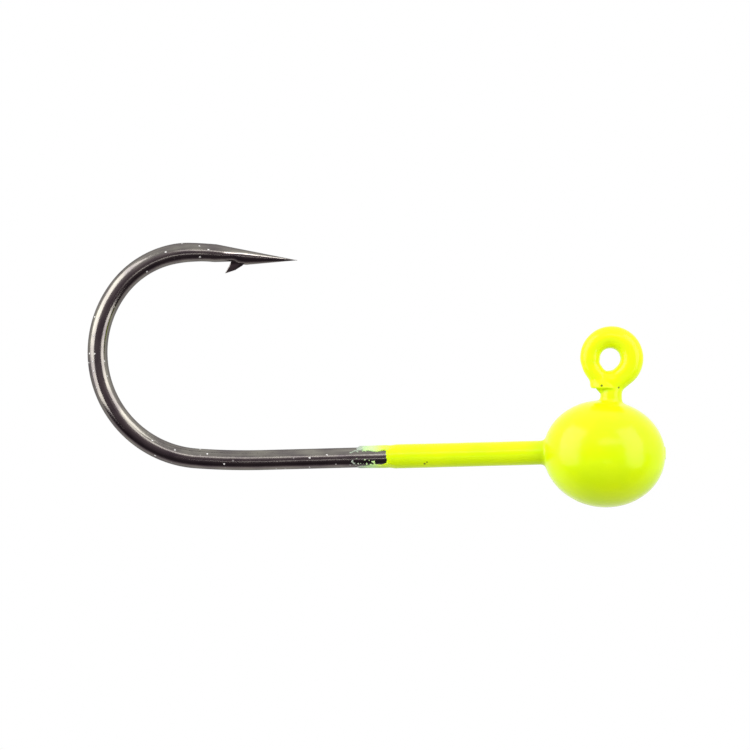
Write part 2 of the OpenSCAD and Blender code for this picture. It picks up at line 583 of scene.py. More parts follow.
@dataclass(frozen=True)
class NodeKit:
    """Short ways to build one material's nodes."""

    tree: bpy.types.NodeTree

    def node(self, kind: str, **settings: object) -> bpy.types.Node:
        """Adds a node.

        Args:
            kind: Blender's name for it.
            settings: Its properties and, by name, its sockets.

        Returns:
            The node.
        """
        made = self.tree.nodes.new(kind)
        for key, value in settings.items():
            if hasattr(made, key):
                setattr(made, key, value)
            else:
                made.inputs[key.replace("_", " ").title()].default_value = value
        return made

    def link(self, source: bpy.types.NodeSocket, target: bpy.types.NodeSocket) -> None:
        """Joins an output to an input."""
        self.tree.links.new(source, target)

    def place(self, scale: tuple[float, float, float], uv: bool = False) -> bpy.types.NodeSocket:
        """Makes a scaled position.

        Args:
            scale: Its scale on three axes.
            uv: Whether to read the piece's map in millimetres, not the object's metres.

        Returns:
            The position.
        """
        source = self.node("ShaderNodeTexCoord").outputs["UV" if uv else "Object"]
        mapping = self.node("ShaderNodeMapping")
        mapping.inputs["Scale"].default_value = scale
        self.link(source, mapping.inputs["Vector"])
        return mapping.outputs["Vector"]

    def noise(self, place: bpy.types.NodeSocket, scale: float, detail: float = 3.0,
              roughness: float = 0.5) -> bpy.types.NodeSocket:
        """Makes a noise.

        Args:
            place: Where it is read.
            scale: Its scale.
            detail: How many finer layers it has.
            roughness: How strong these are.

        Returns:
            Its value.
        """
        made = self.node("ShaderNodeTexNoise")
        made.inputs["Scale"].default_value = scale
        made.inputs["Detail"].default_value = detail
        made.inputs["Roughness"].default_value = roughness
        self.link(place, made.inputs["Vector"])
        return made.outputs["Fac"]

    def ramp(self, value: bpy.types.NodeSocket, low: float, high: float, start: float = 0.0,
             end: float = 1.0) -> bpy.types.NodeSocket:
        """Spreads a value from start to end as it goes from low to high.

        Args:
            value: The value.
            low: Where the result is start.
            high: Where the result is end.
            start: The result below low.
            end: The result above high.

        Returns:
            The result.
        """
        made = self.node("ShaderNodeMapRange")
        for name, number in (("From Min", low), ("From Max", high), ("To Min", start), ("To Max", end)):
            made.inputs[name].default_value = number
        self.link(value, made.inputs["Value"])
        return made.outputs["Result"]

    def mix(self, factor: bpy.types.NodeSocket, first: object, second: object) -> bpy.types.NodeSocket:
        """Mixes two colours.

        Args:
            factor: The second colour's share.
            first: A colour or a socket.
            second: The same.

        Returns:
            The mixed colour.
        """
        made = self.node("ShaderNodeMix", data_type="RGBA")
        self.link(factor, made.inputs["Factor"])
        for value, name in ((first, "A"), (second, "B")):
            socket = next(s for s in made.inputs if s.name == name and s.type == "RGBA")
            if isinstance(value, bpy.types.NodeSocket):
                self.link(value, socket)
            else:
                socket.default_value = (*value, 1.0)
        return next(s for s in made.outputs if s.type == "RGBA")

    def maths(self, operation: str, first: object, second: object = 0.0) -> bpy.types.NodeSocket:
        """Does one sum.

        Args:
            operation: Blender's name for it.
            first: A number or a socket.
            second: The same.

        Returns:
            The result.
        """
        made = self.node("ShaderNodeMath", operation=operation)
        for index, value in enumerate((first, second)):
            if isinstance(value, bpy.types.NodeSocket):
                self.link(value, made.inputs[index])
            else:
                made.inputs[index].default_value = value
        return made.outputs["Value"]

    def bump(self, height: bpy.types.NodeSocket, depth: float, under: bpy.types.NodeSocket | None = None
             ) -> bpy.types.NodeSocket:
        """Tilts the normal by a height.

        Args:
            height: The height, from 0 to 1.
            depth: What 1 stands for, in metres.
            under: Another bump that this one lies on.

        Returns:
            The normal.
        """
        made = self.node("ShaderNodeBump")
        made.inputs["Strength"].default_value = 1.0
        made.inputs["Distance"].default_value = depth
        self.link(height, made.inputs["Height"])
        if under is not None:
            self.link(under, made.inputs["Normal"])
        return made.outputs["Normal"]

    def spot(self, at: tuple[float, float, float], radius: float, soft: float) -> bpy.types.NodeSocket:
        """Marks a round spot.

        Args:
            at: Its place, in millimetres.
            radius: Its radius.
            soft: How wide its edge is.

        Returns:
            A value of 1 in the spot and 0 past its edge.
        """
        place = self.node("ShaderNodeTexCoord").outputs["Object"]
        gap = self.node("ShaderNodeVectorMath", operation="DISTANCE")
        self.link(place, gap.inputs[0])
        gap.inputs[1].default_value = tuple(c * MM for c in at)
        return self.ramp(gap.outputs["Value"], radius * MM, (radius + soft) * MM, 1.0, 0.0)


def new_finish(name: str) -> tuple[bpy.types.Material, NodeKit, bpy.types.Node]:
    """Makes an empty material.

    Args:
        name: Its name.

    Returns:
        The material, its node kit and its shader.
    """
    material = bpy.data.materials.new(name)
    material.use_nodes = True
    kit = NodeKit(material.node_tree)
    return material, kit, material.node_tree.nodes["Principled BSDF"]


@dataclass(frozen=True)
class BlackNickel:
    """Bright black nickel plate on drawn wire: dark, warm, with fine lengthwise lines, stray specks and a
    painted highlight streak along the ground point.
    """

    brown: tuple[float, float, float] = (0.245, 0.233, 0.200)
    violet: tuple[float, float, float] = (0.130, 0.115, 0.116)
    speck: tuple[float, float, float] = (0.62, 0.62, 0.60)
    edge_tint: tuple[float, float, float] = (0.50, 0.49, 0.50)
    roughness: tuple[float, float] = (0.11, 0.24)
    line_scale: tuple[float, float, float] = (0.35, 14.0, 1.0)
    cloud_scale: tuple[float, float, float] = (0.5, 0.9, 1.0)
    grain_scale: tuple[float, float, float] = (9.0, 9.0, 1.0)
    dust_scale: tuple[float, float, float] = (1.5, 1.5, 1.0)
    patch_scale: tuple[float, float, float] = (0.22, 0.3, 1.0)
    line_share: float = 0.45
    speck_r: tuple[float, float] = (0.07, 0.12)
    speck_rough: float = 0.7
    line_h: float = 0.0016
    grain_h: float = 0.0022
    speck_h: float = 0.02
    tip_at: float = 0.0
    # Painted highlight along the point: its cream colour, its span behind the tip and its band round the
    # wire.
    highlight_cream: tuple[float, float, float] = (0.80, 0.76, 0.68)
    highlight_span: tuple[float, float] = (5.9, 0.7)
    highlight_face: tuple[float, float] = (-1.26, -0.96)

    def painted_highlight_streak(self, kit: NodeKit, lines: bpy.types.NodeSocket) -> bpy.types.NodeSocket:
        """Marks a painted highlight: a bright cream streak beside the point's ridge, standing in for a
        lamp's glint there.

        Args:
            kit: The material's node kit.
            lines: The plate's fine lines, which break the streak up.

        Returns:
            The painted highlight's share.
        """
        split = kit.node("ShaderNodeSeparateXYZ")
        kit.link(kit.place((1.0, 1.0, 1.0), uv=True), split.inputs["Vector"])
        start, end = self.tip_at - self.highlight_span[0], self.tip_at - self.highlight_span[1]
        along = kit.maths("MULTIPLY", kit.ramp(split.outputs["X"], start, start + 0.35),
                          kit.ramp(split.outputs["X"], end - 0.6, end, 1.0, 0.0))
        low, high = self.highlight_face
        face = kit.maths("MULTIPLY", kit.ramp(split.outputs["Y"], low, low + 0.08),
                         kit.ramp(split.outputs["Y"], high - 0.14, high, 1.0, 0.0))
        streak = kit.maths("MULTIPLY", along, face)
        return kit.maths("MULTIPLY", streak, kit.ramp(lines, 0.35, 0.5, 0.6, 1.0))

    def make(self) -> bpy.types.Material:
        """Makes the material. Its pattern follows the wire by the piece's own map, in millimetres.

        Returns:
            The material.
        """
        material, kit, shader = new_finish("black_nickel")
        lines = kit.noise(kit.place(self.line_scale, uv=True), 1.0, 4.0, 0.65)
        clouds = kit.noise(kit.place(self.cloud_scale, uv=True), 1.0, 3.0)
        grain = kit.noise(kit.place(self.grain_scale, uv=True), 1.0, 2.0, 0.6)
        tone = kit.maths("ADD", kit.maths("MULTIPLY", lines, self.line_share),
                         kit.maths("MULTIPLY", clouds, 1.0 - self.line_share))
        plate = kit.mix(kit.ramp(tone, 0.38, 0.62), self.violet, self.brown)
        # Paints a cream highlight streak beside the point's ridge into the plate's colour.
        plate = kit.mix(self.painted_highlight_streak(kit, lines), plate, self.highlight_cream)
        cells = kit.node("ShaderNodeTexVoronoi", voronoi_dimensions="2D")
        kit.link(kit.place(self.dust_scale, uv=True), cells.inputs["Vector"])
        cells.inputs["Scale"].default_value = 1.0
        near = kit.ramp(cells.outputs["Distance"], *self.speck_r, 1.0, 0.0)
        chosen = kit.node("ShaderNodeSeparateColor")
        kit.link(cells.outputs["Color"], chosen.inputs["Color"])
        rare = kit.ramp(chosen.outputs["Red"], 0.80, 0.84)
        patch = kit.ramp(kit.noise(kit.place(self.patch_scale, uv=True), 1.0, 1.0), 0.46, 0.56)
        dust = kit.maths("MULTIPLY", kit.maths("MULTIPLY", near, rare), patch)
        kit.link(kit.mix(dust, plate, self.speck), shader.inputs["Base Color"])
        kit.link(kit.maths("SUBTRACT", 1.0, dust), shader.inputs["Metallic"])
        worked = kit.maths("ADD", kit.maths("MULTIPLY", grain, 0.5), kit.maths("MULTIPLY", lines, 0.5))
        rough = kit.ramp(worked, 0.3, 0.7, *self.roughness)
        dusty = kit.maths("MULTIPLY", dust, self.speck_rough)
        kit.link(kit.maths("MAXIMUM", rough, dusty), shader.inputs["Roughness"])
        shader.inputs["Specular Tint"].default_value = (*self.edge_tint, 1.0)
        drawn = kit.bump(lines, self.line_h * MM)
        hammered = kit.bump(grain, self.grain_h * MM, drawn)
        kit.link(kit.bump(dust, self.speck_h * MM, hammered), shader.inputs["Normal"])
        return material


@dataclass(frozen=True)
class FluorescentPaint:
    """Glossy fluorescent yellow-green paint, a little uneven where it flowed, with a few pinholes, a faint
    painted emission and a painted paler top.
    """

    lemon: tuple[float, float, float] = (0.555, 0.72, 0.0008)
    lime: tuple[float, float, float] = (0.505, 0.69, 0.0006)
    # Paler tint painted in by height over the upper parts, a painted lightening of the top.
    pale: tuple[float, float, float] = (0.625, 0.755, 0.004)
    pin: tuple[float, float, float] = (0.09, 0.09, 0.01)
    # Heights over which the painted lightening of the top comes in, in millimetres.
    top_light_from: float = -4.4
    top_light_to: float = -1.6
    # A faint even emission painted into the paint: painted light, the paint lights itself though it is no
    # lamp.
    painted_emission: tuple[float, float, float] = (0.80, 1.0, 0.0)
    painted_emission_strength: float = 0.03
    gloss_ior: float = 1.31
    flow_scale: float = 420.0
    peel_scale: float = 2600.0
    grit_scale: float = 9000.0
    peel_h: float = 0.007
    grit_h: float = 0.0012
    pinholes: tuple[tuple[float, float, float, float], ...] = (
        (-0.76, -0.84, -2.13, 0.08), (0.56, -0.66, -2.27, 0.05), (-14.60, -0.71, -8.23, 0.06),
        (-14.42, -0.80, -8.10, 0.04), (-4.88, 0.0, -9.20, 0.09))

    def make(self) -> bpy.types.Material:
        """Makes the material: it is paler higher up, a painted lightening over the top of the ball, the
        riser and the eye.

        Returns:
            The material.
        """
        material, kit, shader = new_finish("fluorescent_paint")
        flow = kit.noise(kit.place((self.flow_scale,) * 3), 1.0, 3.0)
        peel = kit.noise(kit.place((self.peel_scale,) * 3), 1.0, 2.0, 0.4)
        grit = kit.noise(kit.place((self.grit_scale,) * 3), 1.0, 2.0, 0.7)
        colour = kit.mix(kit.ramp(flow, 0.35, 0.65), self.lime, self.lemon)
        split = kit.node("ShaderNodeSeparateXYZ")
        kit.link(kit.place((1.0, 1.0, 1.0)), split.inputs["Vector"])
        # Painted light: the paint turns paler with height, towards the riser and eye.
        thin = kit.ramp(split.outputs["Z"], self.top_light_from * MM, self.top_light_to * MM)
        colour = kit.mix(thin, colour, self.pale)
        for x, y, z, radius in self.pinholes:
            colour = kit.mix(kit.spot((x, y, z), radius, 0.05), colour, self.pin)
        kit.link(colour, shader.inputs["Base Color"])
        kit.link(kit.ramp(peel, 0.3, 0.7, 0.16, 0.24), shader.inputs["Roughness"])
        # Painted light: a faint even emission that brightens the whole coat.
        shader.inputs["Emission Color"].default_value = (*self.painted_emission, 1.0)
        shader.inputs["Emission Strength"].default_value = self.painted_emission_strength
        shader.inputs["IOR"].default_value = self.gloss_ior
        skin = kit.bump(peel, self.peel_h * MM)
        kit.link(kit.bump(grit, self.grit_h * MM, skin), shader.inputs["Normal"])
        return material


@dataclass(frozen=True)
class WhiteBase:
    """Chalky white base coat, stained green where a breath of the top coat lies on it."""

    chalk: tuple[float, float, float] = (0.28, 0.33, 0.27)
    stain: tuple[float, float, float] = (0.44, 0.68, 0.25)
    grime: tuple[float, float, float] = (0.28, 0.32, 0.24)
    breath: tuple[float, float, float] = (0.52, 0.71, 0.03)
    patch_scale: float = 900.0
    grit_scale: float = 7000.0
    grit_h: float = 0.006
    coloured_to: float = 18.7
    colour_fade: float = 0.9
    stained_to: float = 18.8
    clean_from: float = 19.9

    def make(self) -> bpy.types.Material:
        """Makes the material, coloured by how far along the shank it lies.

        Returns:
            The material.
        """
        material, kit, shader = new_finish("white_base")
        patches = kit.noise(kit.place((self.patch_scale,) * 3), 1.0, 3.0)
        grit = kit.noise(kit.place((self.grit_scale,) * 3), 1.0, 3.0, 0.7)
        split = kit.node("ShaderNodeSeparateXYZ")
        kit.link(kit.place((1.0, 1.0, 1.0)), split.inputs["Vector"])
        along = kit.ramp(split.outputs["X"], -self.clean_from * MM, -self.stained_to * MM)
        tone = kit.maths("ADD", along, kit.ramp(patches, 0.35, 0.65, -0.3, 0.3))
        colour = kit.mix(kit.ramp(tone, 0.0, 1.0), self.chalk, self.stain)
        bare, full = -self.coloured_to * MM, (self.colour_fade - self.coloured_to) * MM
        breath = kit.ramp(split.outputs["X"], bare, full)
        colour = kit.mix(breath, colour, self.breath)
        colour = kit.mix(kit.ramp(grit, 0.58, 0.74, 0.0, 0.6), colour, self.grime)
        kit.link(colour, shader.inputs["Base Color"])
        kit.link(kit.ramp(grit, 0.3, 0.7, 0.42, 0.62), shader.inputs["Roughness"])
        kit.link(kit.bump(grit, self.grit_h * MM), shader.inputs["Normal"])
        return material


@dataclass(frozen=True)
class CastLead:
    """Dull grey lead as it leaves the mould, mottled and faintly pitted."""

    bright: tuple[float, float, float] = (0.42, 0.43, 0.46)
    dull: tuple[float, float, float] = (0.24, 0.245, 0.265)
    metal: float = 0.85
    mottle_scale: float = 700.0
    pit_scale: float = 4200.0
    pit_h: float = 0.02

    def make(self) -> bpy.types.Material:
        """Makes the material.

        Returns:
            The material.
        """
        material, kit, shader = new_finish("cast_lead")
        mottle = kit.noise(kit.place((self.mottle_scale,) * 3), 1.0, 4.0, 0.6)
        pits = kit.noise(kit.place((self.pit_scale,) * 3), 1.0, 2.0, 0.5)
        kit.link(kit.mix(kit.ramp(mottle, 0.35, 0.65), self.dull, self.bright), shader.inputs["Base Color"])
        shader.inputs["Metallic"].default_value = self.metal
        kit.link(kit.ramp(mottle, 0.3, 0.7, 0.62, 0.44), shader.inputs["Roughness"])
        kit.link(kit.bump(kit.ramp(pits, 0.25, 0.45), self.pit_h * MM), shader.inputs["Normal"])
        return material


# ---------------------------------------------------------------- the hook


@dataclass
class ForgedHook:
    """The hook: one piece of wire, swept along its path, ground to a point and split into a barb."""

    path: WirePath
    point: PointSizes = PointSizes()
    barb: BarbSizes = BarbSizes()
    sides: int = 64
    step: float = 0.14

    def section(self, at: np.ndarray, angle: np.ndarray) -> tuple[np.ndarray, np.ndarray]:
        """Shapes the wire's section: round, and towards the tip ground to two flanks a side.

        Args:
            at: Length along the wire.
            angle: Angle round it from its left side, which at the point is its upper side.

        Returns:
            Offsets from the centreline to the left and across the hook.
        """
        shape, plain = self.point, self.path.wire_r(at)
        behind = self.path.length - at
        waist = shape.waist * (1 - smooth_step(shape.waist_full, shape.taper_from, behind))
        wire = plain * shape.trim - waist
        upper = np.minimum(shape.upper_slope * behind, wire)
        keel = shape.lower_slope * behind
        notch = shape.notch_h + shape.notch_slope * np.clip(behind - shape.notch_rise, 0.0, None)
        share = smooth_step(*shape.notch_zone, behind)
        lower = np.minimum(keel * (1 - share) + notch * share, wire)
        side = np.minimum(shape.side_slope * behind, wire)
        tall = np.maximum(np.where(np.cos(angle) >= 0, upper, lower), shape.tip_r)
        wide = np.maximum(side, shape.tip_r)
        ground = 1 - smooth_step(shape.ground_full, shape.ground_from, behind)
        power = shape.round_power + (shape.ground_power - shape.round_power) * ground
        cos, sin = np.abs(np.cos(angle)), np.abs(np.sin(angle))
        reach = ((cos / tall) ** power + (sin / wide) ** power) ** (-1 / power)
        left, across = reach * np.cos(angle), reach * np.sin(angle)
        lift = shape.ridge_lift * ground * np.maximum(upper, shape.tip_r) * (across / wide) ** 2
        return left + lift, across

    def draw(self) -> bpy.types.Object:
        """Draws the finished hook.

        Returns:
            The object, in millimetres.
        """
        sweep = WireSweep("hook_wire", self.path.parts, self.path.sizes.wire_d / 2, self.sides, self.step)
        obj = sweep.draw()
        points = coords(obj)
        at, angle = np.zeros(len(points)), np.zeros(len(points))
        edges = [0, *sweep.counts]
        for index, part in enumerate(self.path.parts):
            chosen = slice(edges[index], edges[index + 1])
            x, y, z = points[chosen].T
            along, left, _ = part.locate(x, z)
            at[chosen] = self.path.at[index] + along
            angle[chosen] = np.arctan2(y, left)
            new_left, new_y = self.section(at[chosen], angle[chosen])
            foot = points[chosen] - self.offsets(part, along, y, left)
            points[chosen] = foot + self.offsets(part, along, new_y, new_left)
        set_coords(obj, points)
        self.map_surface(obj, at, angle)
        self.cut_tag(obj, at)
        self.raise_barb(obj)
        return obj

    def cut_tag(self, obj: bpy.types.Object, at: np.ndarray) -> None:
        """Cuts the tag end off level, as the cutter leaves it.

        Args:
            obj: The hook.
            at: Length along the wire of each vertex.
        """
        tag = self.path.parts[0].length
        only(obj)
        bpy.ops.object.mode_set(mode="EDIT")
        bpy.ops.mesh.select_mode(type="VERT")
        bpy.ops.mesh.select_all(action="DESELECT")
        bpy.ops.object.mode_set(mode="OBJECT")
        obj.data.vertices.foreach_set("select", at < tag)
        bpy.ops.object.mode_set(mode="EDIT")
        bpy.ops.mesh.bisect(plane_co=(0.0, 0.0, -self.path.sizes.tag_drop), plane_no=(0.0, 0.0, -1.0),
                            use_fill=True, clear_outer=True)
        bpy.ops.object.mode_set(mode="OBJECT")

    @staticmethod
    def offsets(part: Segment, along: np.ndarray, y: np.ndarray, left: np.ndarray) -> np.ndarray:
        """Turns offsets from the centreline into vectors.

        Args:
            part: The stretch they are on.
            along: Lengths along it.
            y: Offsets across the hook.
            left: Offsets to the left.

        Returns:
            The vectors, N by 3.
        """
        share = along / part.length
        heading = part.heading + part.turn * share
        return np.stack([-left * np.sin(heading), y, left * np.cos(heading)], axis=1)

    def map_surface(self, obj: bpy.types.Object, at: np.ndarray, angle: np.ndarray) -> None:
        """Gives the wire a map in millimetres: along it, and round it, with the seam where the angle wraps.

        Args:
            obj: The hook.
            at: Length along the wire of each vertex.
            angle: Angle round it.
        """
        while obj.data.uv_layers:
            obj.data.uv_layers.remove(obj.data.uv_layers[0])
        layer = obj.data.uv_layers.new(name="along_wire")
        loops = np.empty(len(obj.data.loops), dtype=np.int64)
        obj.data.loops.foreach_get("vertex_index", loops)
        starts = np.empty(len(obj.data.polygons), dtype=np.int64)
        obj.data.polygons.foreach_get("loop_start", starts)
        order = np.repeat(np.arange(len(starts)), np.diff(np.append(starts, len(loops))))
        turned = angle[loops]
        high = np.maximum.reduceat(turned, starts)[order]
        turned = np.where(high - turned > math.pi, turned + 2 * math.pi, turned)
        uv = np.stack([at[loops], turned * self.path.sizes.wire_d / 2], axis=1)
        layer.data.foreach_set("uv", uv.astype(np.float32).ravel())

    def raise_barb(self, obj: bpy.types.Object) -> None:
        """Adds the barb: a wedge split from the wire's lower side and bent up off it.

        Args:
            obj: The hook.
        """
        part = self.path.point
        bpy.ops.object.select_all(action="DESELECT")
        bpy.ops.mesh.primitive_cube_add(size=2.0, location=(0.0, 0.0, 0.0))
        wedge = bpy.context.object
        bpy.ops.object.mode_set(mode="EDIT")
        bpy.ops.mesh.select_all(action="SELECT")
        bpy.ops.mesh.subdivide(number_cuts=1)
        bpy.ops.object.mode_set(mode="OBJECT")
        outline = self.barb.outline()
        cos, sin = math.cos(part.heading), math.sin(part.heading)
        for vertex in wedge.data.vertices:
            (along, up), thick = outline[round(vertex.co.x), round(vertex.co.z)]
            vertex.co = Vector((part.x + along * cos - up * sin, vertex.co.y * thick / 2,
                                part.z + along * sin + up * cos))
        bpy.ops.object.mode_set(mode="EDIT")
        bpy.ops.mesh.select_all(action="SELECT")
        bpy.ops.mesh.normals_make_consistent(inside=False)
        bpy.ops.mesh.select_all(action="DESELECT")
        bpy.ops.mesh.edges_select_sharp(sharpness=math.radians(self.barb.crease))
        bpy.ops.mesh.bevel(offset=self.barb.edge, segments=2, affect="EDGES")
        bpy.ops.object.mode_set(mode="OBJECT")
        only(obj)
        union = obj.modifiers.new("barb", "BOOLEAN")
        union.operation, union.object, union.solver = "UNION", wedge, "EXACT"
        bpy.ops.object.modifier_apply(modifier=union.name)
        bpy.data.objects.remove(wedge)


# ---------------------------------------------------------------- the paint


@dataclass
class PaintCoat:
    """One coat of paint over head, riser, eye and shank, as a closed skin round what it covers."""

    name: str
    path: WirePath
    head: HeadSizes
    paint: PaintSizes
    thickness: float
    voxel: float
    zone: tuple[float, float]
    cuts: int
    dive: float = 0.03
    rough_sides: int = 32
    rough_step: float = 0.3

    @property
    def ball_centre(self) -> tuple[float, float]:
        """The ball's centre, x and z."""
        return -self.head.back, -self.path.sizes.shank_drop - self.head.low

    def ball_distance(self, points: np.ndarray) -> np.ndarray:
        """Measures from the painted ball, with its parting ridge and sprue stub.

        Args:
            points: N by 3, in millimetres.

        Returns:
            The distances.
        """
        head, t = self.head, self.thickness
        cx, cz = self.ball_centre
        dip = math.radians(head.dip)
        x, y, z = points.T
        along = (x - cx) * math.cos(dip) - (z - cz) * math.sin(dip)
        up = (x - cx) * math.sin(dip) + (z - cz) * math.cos(dip)
        a, b = head.half_l + t + head.longer, head.half_h + t
        k0 = np.sqrt((along / a) ** 2 + (up ** 2 + y ** 2) / b ** 2)
        k1 = np.sqrt((along / a ** 2) ** 2 + (up ** 2 + y ** 2) / b ** 4)
        ball = k0 * (k0 - 1) / np.maximum(k1, 1e-9)
        ball = ball + head.shrink - head.parting_h * np.exp(-(y / head.parting_w) ** 2)
        ball = ball - ripples(points, self.paint.ball_flow)
        stub = np.maximum(np.hypot(y, z - cz - head.sprue_up) - head.sprue_r,
                          x - cx - head.half_l - head.sprue_h - t)
        return blend_min(ball, stub, self.paint.stub_soft)

    def wire_distance(self, points: np.ndarray) -> np.ndarray:
        """Measures from the painted wire: its eye, riser, tag and shank.

        Args:
            points: N by 3, in millimetres.

        Returns:
            The distances.
        """
        path, paint, t = self.path, self.paint, self.thickness
        x, y, z = points.T
        eye = len(path.eye_parts)
        ring, at = path.distance(points, slice(TAG_PARTS, eye + TAG_PARTS))
        ring = ring - path.wire_r(at) - t - self.swelling(points) * t / paint.top_t
        tag, at = path.distance(points, slice(0, TAG_PARTS))
        drip = paint.drip * smooth_step(*paint.tag_run, -z) - paint.tag_thin
        tag = tag - path.wire_r(at) - t - drip * t / paint.top_t
        floor = -path.sizes.tag_drop - t * paint.tag_under - z
        tag = -blend_min(-tag, -floor, paint.tag_edge)
        web_x, web_z, web_r = paint.web
        web = np.sqrt((x - web_x) ** 2 + (z - web_z) ** 2 + (y * paint.web_narrow) ** 2) - web_r
        return blend_min(blend_min(ring, tag, paint.crevice), web, paint.web_soft)

    def swelling(self, points: np.ndarray) -> np.ndarray:
        """Works out how the paint has run round the eye, more on its right and in its hole.

        Args:
            points: N by 3, in millimetres.

        Returns:
            How much thicker the top coat is there.
        """
        paint = self.paint
        x, _, z = points.T
        reach, turn = np.hypot(x, z), np.arctan2(z, x)
        inner = 1 - smooth_step(*paint.inner_band, reach - self.path.sizes.ring_r)
        hole = paint.hole_run[0] + paint.hole_run[1] * np.cos(turn)
        rim = paint.rim_run[0] + paint.rim_run[1] * np.cos(turn - math.radians(paint.run_a))
        lean = np.clip(np.cos(turn - math.radians(paint.lean_a)), 0.0, 1.0) ** paint.lean_sharp
        rim = rim - paint.lean * lean
        near = 1 - smooth_step(*paint.eye_reach, reach)
        riser = (1 - near) * paint.riser_full * (1 - smooth_step(*paint.riser_reach, -x))
        return (hole * inner + rim * (1 - inner)) * near + riser

    def field(self, points: np.ndarray) -> np.ndarray:
        """Returns the distance from the coat's surface, before its end is feathered."""
        wire = self.wire_distance(points) - ripples(points, self.paint.wire_flow)
        return blend_min(wire, self.ball_distance(points), self.paint.fillet)

    def rough_body(self) -> bpy.types.Object:
        """Joins a ball and a length of wire, and melts them into one skin.

        Returns:
            The skin.
        """
        head, path, t = self.head, self.path, self.thickness
        end = path.shank_zero + self.zone[1]
        body = WireSweep(self.name, path.upto(end), path.sizes.wire_d / 2 + t, self.rough_sides,
                         self.rough_step).draw()
        cx, cz = self.ball_centre
        bpy.ops.object.select_all(action="DESELECT")
        bpy.ops.mesh.primitive_uv_sphere_add(
            segments=2 * self.rough_sides, ring_count=self.rough_sides, radius=1.0,
            location=(cx, 0.0, cz), rotation=(0.0, math.radians(head.dip), 0.0))
        ball = bpy.context.object
        ball.scale = (head.half_l + t, head.half_h + t, head.half_h + t)
        bpy.ops.object.transform_apply(location=True, rotation=True, scale=True)
        body.select_set(True)
        bpy.context.view_layer.objects.active = body
        bpy.ops.object.join()
        melt = body.modifiers.new("melt", "REMESH")
        melt.mode, melt.voxel_size = "VOXEL", self.voxel
        bpy.ops.object.modifier_apply(modifier=melt.name)
        return body

    def refine(self, obj: bpy.types.Object) -> None:
        """Cuts the faces finer where the coat ends on the shank.

        Args:
            obj: The coat.
        """
        points = coords(obj)
        at, _, _ = self.path.locate(points)
        along = at - self.path.shank_zero
        inside = (along > self.zone[0]) & (along < self.zone[1] + 1.0)
        only(obj)
        bpy.ops.object.mode_set(mode="EDIT")
        bpy.ops.mesh.select_mode(type="VERT")
        bpy.ops.mesh.select_all(action="DESELECT")
        bpy.ops.object.mode_set(mode="OBJECT")
        obj.data.vertices.foreach_set("select", inside)
        bpy.ops.object.mode_set(mode="EDIT")
        bpy.ops.mesh.subdivide(number_cuts=self.cuts)
        bpy.ops.object.mode_set(mode="OBJECT")

    def settle(self, obj: bpy.types.Object, rounds: int = 4) -> None:
        """Moves every point onto the coat's surface, as liquid paint settles.

        Args:
            obj: The coat.
            rounds: How many times it moves.
        """
        points = coords(obj)
        gap, longest, flattest = 0.01, 0.2, 0.2
        steps = np.eye(3) * gap
        for _ in range(rounds):
            value = self.field(points)
            rise = [self.field(points + step) - self.field(points - step) for step in steps]
            slope = np.stack(rise, axis=1) / (2 * gap)
            size = np.maximum((slope ** 2).sum(axis=1), flattest)
            points = points - np.clip(value / size, -longest, longest)[:, None] * slope
        set_coords(obj, points)

    def cover(self, along: np.ndarray, face: np.ndarray, points: np.ndarray) -> np.ndarray:
        """Works out how much of the coat is there.

        Args:
            along: Length along the shank from the riser.
            face: Angle round the shank, 0 on the side across the hook and a right angle on top.
            points: The places themselves, for unevenness.

        Returns:
            The coat's share of its full thickness, from 0 to 1.
        """
        raise NotImplementedError

    def film(self, along: np.ndarray) -> np.ndarray:
        """Returns how much thicker than elsewhere the coat is near its end."""
        return np.zeros_like(along)

    def feather(self, obj: bpy.types.Object) -> None:
        """Thins the coat to nothing at its ragged end, where it dives under the wire's surface.

        Args:
            obj: The coat.
        """
        points = coords(obj)
        at, left, y = self.path.locate(points)
        along = at - self.path.shank_zero
        chosen = np.where(along > self.zone[0] - 0.5)[0]
        left, y, along = left[chosen], y[chosen], along[chosen]
        reach = np.maximum(np.hypot(left, y), 1e-6)
        face = np.arctan2(-left, -y)
        share = self.cover(along, face, points[chosen])
        sunk = self.path.wire_r(at[chosen]) - self.dive
        wanted = sunk + (reach + self.film(along) - sunk) * share
        heading = self.path.parts[len(self.path.eye_parts) + 1].heading
        pull = (wanted / reach - 1)[:, None]
        normal = np.stack([-left * math.sin(heading), y, left * math.cos(heading)], axis=1)
        points[chosen] = points[chosen] + normal * pull
        set_coords(obj, points)

    def draw(self) -> bpy.types.Object:
        """Draws the coat.

        Returns:
            The object, in millimetres.
        """
        obj = self.rough_body()
        self.refine(obj)
        self.settle(obj)
        self.feather(obj)
        return obj


@dataclass
class TopCoat(PaintCoat):
    """The fluorescent coat: full and glossy, chipped off square where it ends on the near side."""

    jag: tuple[tuple[float, float, float], ...] = ((0.10, 0.33, 3.0), (0.05, 0.12, 7.0))
    near_side: tuple[float, float] = (0.55, 1.05)
    past: float = 0.75
    near_past: float = 0.05
    fade: float = 1.60
    near_fade: float = 0.10

    def cover(self, along: np.ndarray, face: np.ndarray, points: np.ndarray) -> np.ndarray:
        """Works out the coat's share of its full thickness.

        Args:
            along: Length along the shank from the riser.
            face: Angle round the shank.
            points: The places themselves.

        Returns:
            The shares, from 0 to 1.
        """
        near = 1 - smooth_step(*self.near_side, np.abs(face))
        end = self.paint.top_l + self.past - (self.past - self.near_past) * near + ripples(points, self.jag)
        fade = self.fade - (self.fade - self.near_fade) * near
        return np.clip((end - along) / fade, 0.0, 1.0)


